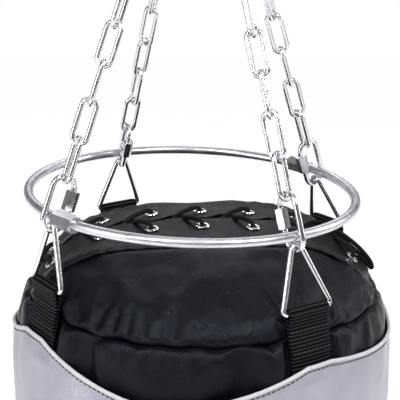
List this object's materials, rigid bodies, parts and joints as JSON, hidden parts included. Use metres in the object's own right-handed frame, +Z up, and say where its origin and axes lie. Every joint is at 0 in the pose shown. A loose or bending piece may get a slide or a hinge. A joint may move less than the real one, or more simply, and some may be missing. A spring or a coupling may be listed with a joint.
{
  "type": "hanging heavy punch bag with chains",
  "caption": "Round heavy bag with a laced top, hung by webbing straps, wire triangles, quick links, chains and a loose spreader hoop from a swivel eye.",
  "frame": {"origin": "centre of the hanging eye's hole, from which the whole bag hangs", "axes": "+Z up along the bag; +X along the laced slit in the bag's top, towards the end where the lace starts; +Y through the hanging eye's hole"},
  "size_m": [0.3364, 0.3364, 1.5325],
  "materials": {
    "swivel_steel": "bright zinc over turned and welded steel",
    "link_zinc": "bright zinc plated forged wire",
    "chain_zinc": "bright zinc plated wire with a weld on one leg of each link",
    "triangle_zinc": "bright zinc plated bent wire",
    "hoop_zinc": "zinc plated drawn rod with a faint lengthwise grain",
    "coupler_zinc": "zinc plated hexagonal bar, satin flats and bright bevels",
    "black_leatherette": "black coated fabric, fine leather grain, satin",
    "silver_leatherette": "silver grey coated fabric, fine leather grain, satin",
    "eyelet_nickel": "nickel plated pressed eyelet",
    "lace_black": "black braided cord",
    "piping_grey": "light grey vinyl piping",
    "webbing_black": "black ribbed polypropylene webbing",
    "lining_black": "black woven lining",
    "foam_grey": "grey needled felt and foam layer",
    "textile_filling": "packed textile shreds"
  },
  "bodies": {
    "hanger": {"hanger_eye": "swivel_steel", "swivel_cap": "swivel_steel", "swivel_housing": "swivel_steel", "bearing_race_lower": "swivel_steel", "bearing_balls": "swivel_steel"},
    "swivel": {"lower_eye": "swivel_steel", "spindle_nut": "swivel_steel", "bearing_race_upper": "swivel_steel"},
    "top_link": {"top_quick_link": "link_zinc"},
    "top_link_nut": {"top_quick_link_nut": "link_zinc"},
    "bag": {"gather_ring": "link_zinc", "chain_rear_right": "chain_zinc", "chain_rear_left": "chain_zinc", "chain_front_left": "chain_zinc", "chain_front_right": "chain_zinc", "quick_link_rear_right": "link_zinc", "quick_link_rear_left": "link_zinc", "quick_link_front_left": "link_zinc", "quick_link_front_right": "link_zinc", "strap_rear_right": "webbing_black", "strap_rear_left": "webbing_black", "strap_front_left": "webbing_black", "strap_front_right": "webbing_black", "filling": "textile_filling", "foam_liner": "foam_grey", "inner_tongue": "lining_black", "lacing_flap_front": "black_leatherette", "lacing_flap_rear": "black_leatherette", "top_panel_front": "black_leatherette", "top_panel_rear": "black_leatherette", "shoulder_band": "black_leatherette", "eyelets_front": "eyelet_nickel", "eyelets_rear": "eyelet_nickel", "lace": "lace_black", "lace_knot": "lace_black", "silver_panel_left": "silver_leatherette", "silver_panel_right": "silver_leatherette", "main_cover": "black_leatherette", "bottom_panel": "black_leatherette", "border_piping": "piping_grey", "waist_piping": "piping_grey"},
    "hoop": {"hoop_half_right": "hoop_zinc", "hoop_half_left": "hoop_zinc", "hoop_coupler_front": "coupler_zinc", "hoop_coupler_rear": "coupler_zinc"},
    "triangle_rear_right": {"triangle_rear_right": "triangle_zinc"},
    "nut_rear_right": {"quick_link_nut_rear_right": "link_zinc"},
    "triangle_rear_left": {"triangle_rear_left": "triangle_zinc"},
    "nut_rear_left": {"quick_link_nut_rear_left": "link_zinc"},
    "triangle_front_left": {"triangle_front_left": "triangle_zinc"},
    "nut_front_left": {"quick_link_nut_front_left": "link_zinc"},
    "triangle_front_right": {"triangle_front_right": "triangle_zinc"},
    "nut_front_right": {"quick_link_nut_front_right": "link_zinc"}
  },
  "joints": [
    {"name": "swivel_spin", "type": "hinge", "parent": "hanger", "child": "swivel", "pos_m": [0, 0, -0.04], "axis": [0, 0, 1], "continuous": true},
    {"name": "swing_front_back", "type": "hinge", "parent": "swivel", "child": "top_link", "pos_m": [0, 0, -0.088], "axis": [1, 0, 0], "range_deg": [-30, 30]},
    {"name": "swing_side", "type": "hinge", "parent": "top_link", "child": "bag", "pos_m": [0, 0, -0.1332], "axis": [0, 1, 0], "range_deg": [-30, 30]},
    {"name": "top_nut_unscrew", "type": "slide", "parent": "top_link", "child": "top_link_nut", "axis": [0, 0, -1], "range_m": [0, 0.0096]},
    {"name": "hoop_turn", "type": "hinge", "parent": "bag", "child": "hoop", "pos_m": [-0.00739, 0.00039, -0.49123], "axis": [0.0371, -0.0019, 0.9993], "range_deg": [0, 68]},
    {"name": "triangle_rock_rear_right", "type": "hinge", "parent": "bag", "child": "triangle_rear_right", "pos_m": [0.12618, 0.08348, -0.54891], "axis": [-0.5518, 0.834, 0], "range_deg": [-1, 1]},
    {"name": "nut_unscrew_rear_right", "type": "slide", "parent": "bag", "child": "nut_rear_right", "axis": [0.2863, 0.2077, -0.9354], "range_m": [0, 0.008]},
    {"name": "triangle_rock_rear_left", "type": "hinge", "parent": "bag", "child": "triangle_rear_left", "pos_m": [-0.07565, 0.13103, -0.5449], "axis": [-0.866, -0.5, 0], "range_deg": [-0.5, 0.5]},
    {"name": "nut_unscrew_rear_left", "type": "slide", "parent": "bag", "child": "nut_rear_left", "axis": [-0.1932, 0.353, -0.9154], "range_m": [0, 0.008]},
    {"name": "triangle_rock_front_left", "type": "hinge", "parent": "bag", "child": "triangle_front_left", "pos_m": [-0.12617, -0.0835, -0.54373], "axis": [0.5519, -0.8339, 0], "range_deg": [-1, 1]},
    {"name": "nut_unscrew_front_left", "type": "slide", "parent": "bag", "child": "nut_front_left", "axis": [-0.3179, -0.2288, -0.9201], "range_m": [0, 0.008]},
    {"name": "triangle_rock_front_right", "type": "hinge", "parent": "bag", "child": "triangle_front_right", "pos_m": [0.07336, -0.13232, -0.54841], "axis": [0.8746, 0.4849, 0], "range_deg": [-1, 1]},
    {"name": "nut_unscrew_front_right", "type": "slide", "parent": "bag", "child": "nut_front_right", "axis": [0.1747, -0.3344, -0.9261], "range_m": [0, 0.008]}
  ]
}
